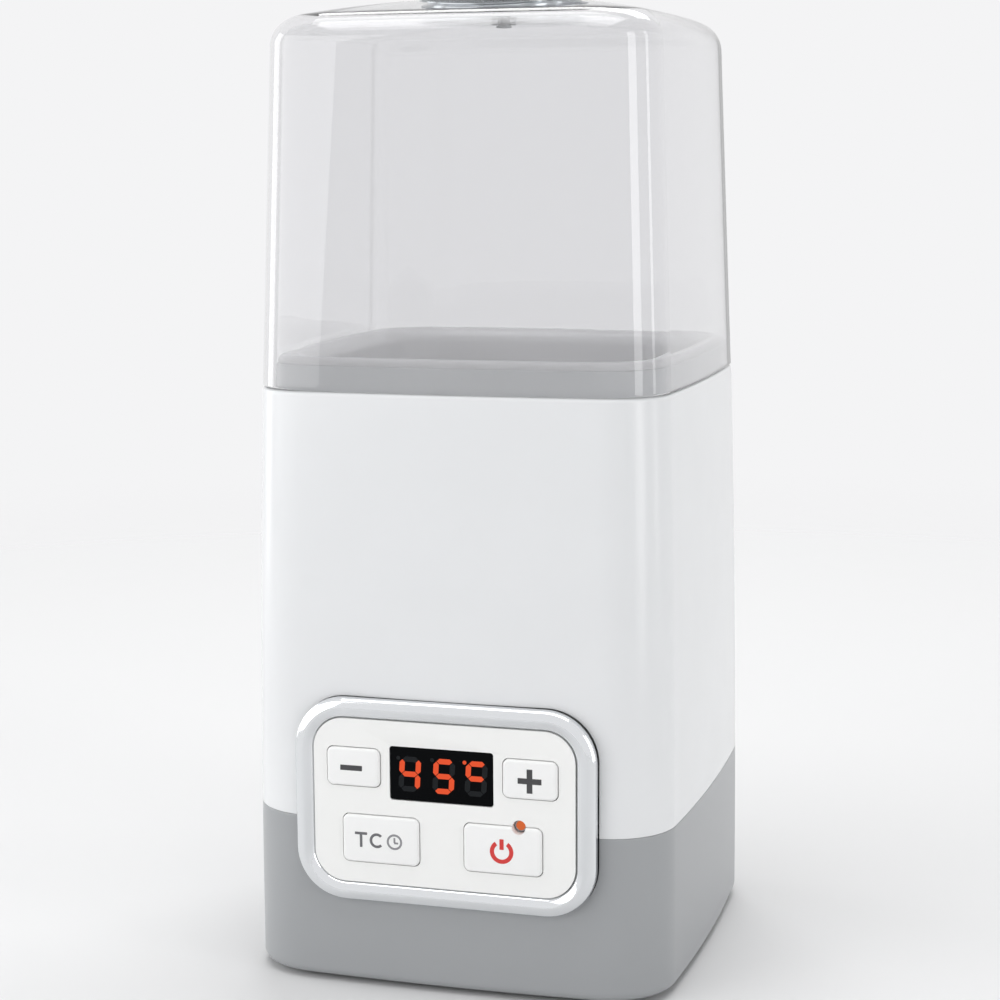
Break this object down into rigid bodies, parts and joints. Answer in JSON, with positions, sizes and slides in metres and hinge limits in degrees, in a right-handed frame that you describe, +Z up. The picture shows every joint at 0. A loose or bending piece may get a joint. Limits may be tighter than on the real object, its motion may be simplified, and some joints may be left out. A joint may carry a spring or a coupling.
{
  "type": "yogurt maker",
  "caption": "Tall square yogurt maker: heated well under a clear lift-off cover with a round knob, and a front panel with temperature display and push keys.",
  "frame": {"origin": "on the floor under the middle of the body, at the tread of the feet", "axes": "+Z up, -Y towards the front panel, +X to the right seen from the front"},
  "size_m": [0.1246, 0.1289, 0.2852],
  "materials": {
    "clear_plastic": "polished clear styrene moulding",
    "knob_metal": "satin dark metal",
    "screw_steel": "zinc plated",
    "white_plastic": "glossy white moulding",
    "grey_plastic": "satin grey moulding",
    "collar_plastic": "satin light grey moulding",
    "liner_plastic": "smooth pale grey moulding",
    "foil": "matt aluminium foil",
    "sensor_metal": "drawn cup",
    "fuse_ceramic": "glass fibre sleeve",
    "bright_rim": "bright plated plastic",
    "fascia_plastic": "glossy warm white moulding",
    "key_plastic": "glossy warm white moulding with printed symbols",
    "window_plastic": "dark tinted window",
    "display_module": "moulded display body",
    "lens_plastic": "translucent orange lens",
    "switch_plastic": "black moulding",
    "control_laminate": "green lacquered board",
    "power_laminate": "brown paper laminate board",
    "transformer_iron": "lacquered laminations",
    "relay_plastic": "blue moulded case",
    "capacitor_sleeve": "dark shrink sleeve",
    "terminal_plastic": "green moulding",
    "plate_plastic": "fine textured grey moulding",
    "foot_rubber": "soft dark rubber"
  },
  "bodies": {
    "base": {"housing": "white_plastic", "base_shell": "grey_plastic", "collar": "collar_plastic", "well_liner": "liner_plastic", "heating_foil": "foil", "temperature_sensor": "sensor_metal", "thermal_fuse": "fuse_ceramic", "panel_rim": "bright_rim", "fascia": "fascia_plastic", "display_window": "window_plastic", "led_display": "display_module", "pilot_light": "lens_plastic", "key_switches": "switch_plastic", "control_board": "control_laminate", "board_screws": "screw_steel", "power_board": "power_laminate", "transformer": "transformer_iron", "relay": "relay_plastic", "capacitors": "capacitor_sleeve", "wire_terminal": "terminal_plastic", "bottom_plate": "plate_plastic", "plate_screws": "screw_steel", "feet": "foot_rubber", "cord_inlet": "plate_plastic"},
    "cover": {"clear_cover": "clear_plastic", "cover_knob": "knob_metal", "knob_screw": "screw_steel"},
    "minus_key": {"minus_key": "key_plastic"},
    "plus_key": {"plus_key": "key_plastic"},
    "mode_key": {"mode_key": "key_plastic"},
    "power_key": {"power_key": "key_plastic"}
  },
  "joints": [
    {"name": "cover_lift", "type": "slide", "parent": "base", "child": "cover", "axis": [0, 0, 1], "range_m": [0, 0.13]},
    {"name": "minus_press", "type": "slide", "parent": "base", "child": "minus_key", "axis": [0, 1, 0], "range_m": [0, 0.0006], "stiffness_N_per_m": 900, "springref_m": -0.0004},
    {"name": "plus_press", "type": "slide", "parent": "base", "child": "plus_key", "axis": [0, 1, 0], "range_m": [0, 0.0006], "stiffness_N_per_m": 900, "springref_m": -0.0004},
    {"name": "mode_press", "type": "slide", "parent": "base", "child": "mode_key", "axis": [0, 1, 0], "range_m": [0, 0.0006], "stiffness_N_per_m": 900, "springref_m": -0.0004},
    {"name": "power_press", "type": "slide", "parent": "base", "child": "power_key", "axis": [0, 1, 0], "range_m": [0, 0.0006], "stiffness_N_per_m": 900, "springref_m": -0.0004}
  ]
}
